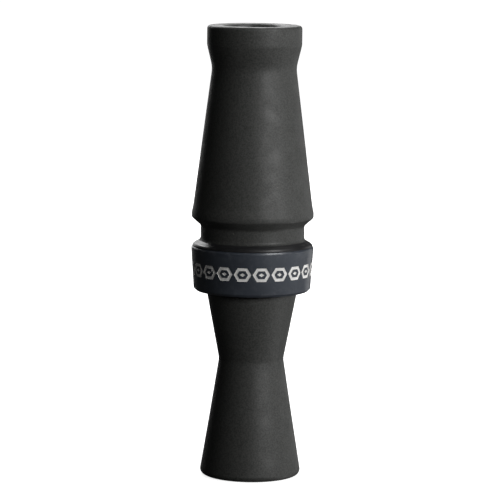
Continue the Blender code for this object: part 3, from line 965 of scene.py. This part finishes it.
def make_reed(node, top, back, dimple=False):
    """A strip of film with a rounded tip, in fine rows so that it can bend along its length."""
    shape = bmesh.new()
    inner = reed_side(shape, top, back, dimple)
    outer = reed_side(shape, top, back + reed_thickness, dimple)
    for i in range(REED_ROWS):
        for j in range(REED_COLUMNS):
            for grid in (inner, outer):
                shape.faces.new((grid[i][j], grid[i][j + 1], grid[i + 1][j + 1], grid[i + 1][j]))
    rim = [(i, 0) for i in range(REED_ROWS + 1)]
    rim += [(REED_ROWS, j) for j in range(1, REED_COLUMNS + 1)]
    rim += [(i, REED_COLUMNS) for i in range(REED_ROWS - 1, -1, -1)]
    rim += [(0, j) for j in range(REED_COLUMNS - 1, 0, -1)]
    for k, (i, j) in enumerate(rim):
        m, n = rim[(k + 1) % len(rim)]
        shape.faces.new((inner[i][j], inner[m][n], outer[m][n], outer[i][j]))
    bmesh.ops.recalc_face_normals(shape, faces=shape.faces)
    piece = drawn(node + "_film", shape)
    piece.data.shade_smooth()
    piece.data.set_sharp_from_angle(angle=SHARP_ANGLE)
    coated(piece, FILM)
    finished(piece, node)
    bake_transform(piece)


def roughened(piece):
    """Divides the cork's surface finely, and gives it worn grain and open pores."""
    shape = bmesh.new()
    shape.from_mesh(piece.data)
    for edge_length in (1.2 * MM, 0.6 * MM, 0.3 * MM):
        long_edges = [edge for edge in shape.edges if edge.calc_length() > edge_length]
        bmesh.ops.subdivide_edges(shape, edges=long_edges, cuts=1, use_grid_fill=True)
        bmesh.ops.triangulate(shape, faces=[face for face in shape.faces if len(face.verts) > 4])
    shape.normal_update()
    for vert in shape.verts:
        grain = noise.noise(vert.co * CORK_GRAINS_PER_METRE)
        place = Vector((vert.co.x, vert.co.y, vert.co.z * CORK_PORE_LENGTHENING))
        pore = max(0.0, noise.noise(place * CORK_PORES_PER_METRE) - CORK_PORE_THRESHOLD)
        vert.co -= vert.normal * (CORK_WEAR + CORK_GRAIN_DEPTH * grain + CORK_PORE_DEPTH * pore)
    shape.to_mesh(piece.data)
    shape.free()
    piece.data.shade_smooth()


def make_wedge():
    """The cork wedge, thicker at its outer end, with worn corners."""
    under = -wedge_high.y
    low, high = wedge_low.z, wedge_high.z
    slope = ROOF_RISE / (ROOF_END - COLLAR_TOP)
    over = ROOF_OUT - FIT_GAP
    corners = [
        (under, low),
        (over + slope * (low - COLLAR_TOP), low),
        (over + slope * (high - COLLAR_TOP), high),
        (under, high),
    ]
    piece = plate("wedge_cork", [Vector(corner) for corner in corners], 2 * wedge_high.x, side_view())
    bevelled(piece, 0.4 * MM, segments=3)
    realised(piece)
    roughened(piece)
    coated(piece, CORK)
    finished(piece, "wedge", body="wedge")


# ---------------------------------------------------------------- the studio


def area_light(name, azimuth, elevation, distance, size, power, spread=180):
    """A soft box that faces the barrel. Azimuth 0 is the camera's side and 90 is +X."""
    light = bpy.data.lights.new(name, "AREA")
    light.shape = "RECTANGLE"
    light.size, light.size_y = size
    light.energy = power
    light.spread = math.radians(spread)
    made = bpy.data.objects.new(name, light)
    bpy.context.scene.collection.objects.link(made)
    a, e = math.radians(azimuth), math.radians(elevation)
    towards = Vector((math.sin(a) * math.cos(e), -math.cos(a) * math.cos(e), math.sin(e)))
    made.location = Vector((0, 0, AIM_HEIGHT)) + towards * distance
    made.rotation_euler = towards.to_track_quat("Z", "Y").to_euler()
    made.visible_camera = False


def make_floor():
    """A pale light table, whose glow is dimmed round the call as a painted shade, and which lets the low
    light through.
    """
    shape = bmesh.new()
    bmesh.ops.create_grid(shape, x_segments=8, y_segments=8, size=FLOOR_REACH)
    floor = drawn("floor", shape)
    look = Look("paper")
    grain = look.ramp(look.noise(3 * MM, detail=3), 0.3, 0.7)
    look.colour(look.mix(grain, (0.86, 0.86, 0.86), (0.88, 0.88, 0.88)))
    look.set(Roughness=0.9, Specular_IOR_Level=0.0)
    look.shader.inputs["Emission Color"].default_value = (1.0, 1.0, 1.0, 1.0)
    distance = look.nodes.new("ShaderNodeVectorMath")
    distance.operation = "LENGTH"
    look.link(look.place, distance.inputs[0])
    # the glow is dimmed round the call: a painted shade that lets the contact shadow show
    glow_with_painted_shade = look.ramp(distance.outputs["Value"], 0.0, PAINTED_SHADE_REACH, PAINTED_SHADE_GLOW, BACKDROP_STRENGTH)
    look.link(glow_with_painted_shade, look.shader.inputs["Emission Strength"])
    coated(floor, look.material)
    floor.location.z = -FLOOR_SINK
    floor.visible_diffuse = False
    floor.visible_glossy = False
    floor.visible_shadow = False


def make_world():
    """A white backdrop for the camera, and dim surroundings for the surfaces."""
    world = bpy.data.worlds.new("studio")
    bpy.context.scene.world = world
    world.use_nodes = True
    nodes, links = world.node_tree.nodes, world.node_tree.links
    dim, bright = nodes["Background"], nodes.new("ShaderNodeBackground")
    for background, strength in ((dim, SURROUNDINGS_STRENGTH), (bright, BACKDROP_STRENGTH)):
        background.inputs["Color"].default_value = (1.0, 1.0, 1.0, 1.0)
        background.inputs["Strength"].default_value = strength
    path = nodes.new("ShaderNodeLightPath")
    either = nodes.new("ShaderNodeMixShader")
    links.new(path.outputs["Is Camera Ray"], either.inputs[0])
    links.new(dim.outputs[0], either.inputs[1])
    links.new(bright.outputs[0], either.inputs[2])
    links.new(either.outputs[0], nodes["World Output"].inputs["Surface"])


def make_camera():
    """The camera at the photo's angle, on the call's axis but for a small step aside and a slight roll."""
    data = bpy.data.cameras.new("camera")
    data.sensor_width = 36
    data.lens = CAMERA_LENS
    data.clip_start = 0.01
    camera = bpy.data.objects.new("camera", data)
    bpy.context.scene.collection.objects.link(camera)
    turn = Matrix.Rotation(math.pi / 2 - CAMERA_PITCH, 4, "X") @ Matrix.Rotation(CAMERA_ROLL, 4, "Z")
    camera.matrix_world = Matrix.Translation((CAMERA_ASIDE, -CAMERA_DISTANCE, CAMERA_HEIGHT)) @ turn
    bpy.context.scene.camera = camera


SOFT_TOUCH = soft_touch()
BORED_AND_SHADE = bored_and_shade_plastic()
ANODISED = anodised()
ETCHED = etched_metal()
BOARD = board_plastic()
RUBBER = seal_rubber()
FILM = reed_film()
CORK = cork()

make_camera()
make_barrel()
make_band()
make_stopper()
make_ring("stopper_o_ring_lower", "seals")
make_ring("stopper_o_ring_upper", "seals")
make_ring("tone_board_o_ring", "tone_board")
make_tone_board()
make_reed("lower_reed", lower_reed_top, lower_reed_back)
make_reed("upper_reed", upper_reed_top, upper_reed_back, dimple=True)
make_wedge()

make_floor()
make_world()
area_light("key", azimuth=43, elevation=14, distance=0.75, size=(0.55, 0.20), power=0.43, spread=52)
area_light("side", azimuth=98, elevation=-3, distance=0.8, size=(0.7, 0.22), power=0.17, spread=70)
area_light("low", azimuth=94, elevation=-40, distance=0.8, size=(0.6, 0.25), power=0.15, spread=60)
area_light("high", azimuth=84, elevation=66, distance=0.9, size=(0.30, 0.25), power=2.6)
area_light("fill", azimuth=-20, elevation=14, distance=0.8, size=(0.2, 0.15), power=0.004, spread=20)
area_light("right_rim", azimuth=142, elevation=0, distance=0.9, size=(0.4, 0.6), power=0.55)
area_light("left_rim", azimuth=-165, elevation=8, distance=0.9, size=(0.5, 0.6), power=1.2)
area_light("back", azimuth=-172, elevation=32, distance=0.9, size=(0.6, 0.4), power=3.5)
bpy.context.scene.view_settings.view_transform = "Standard"
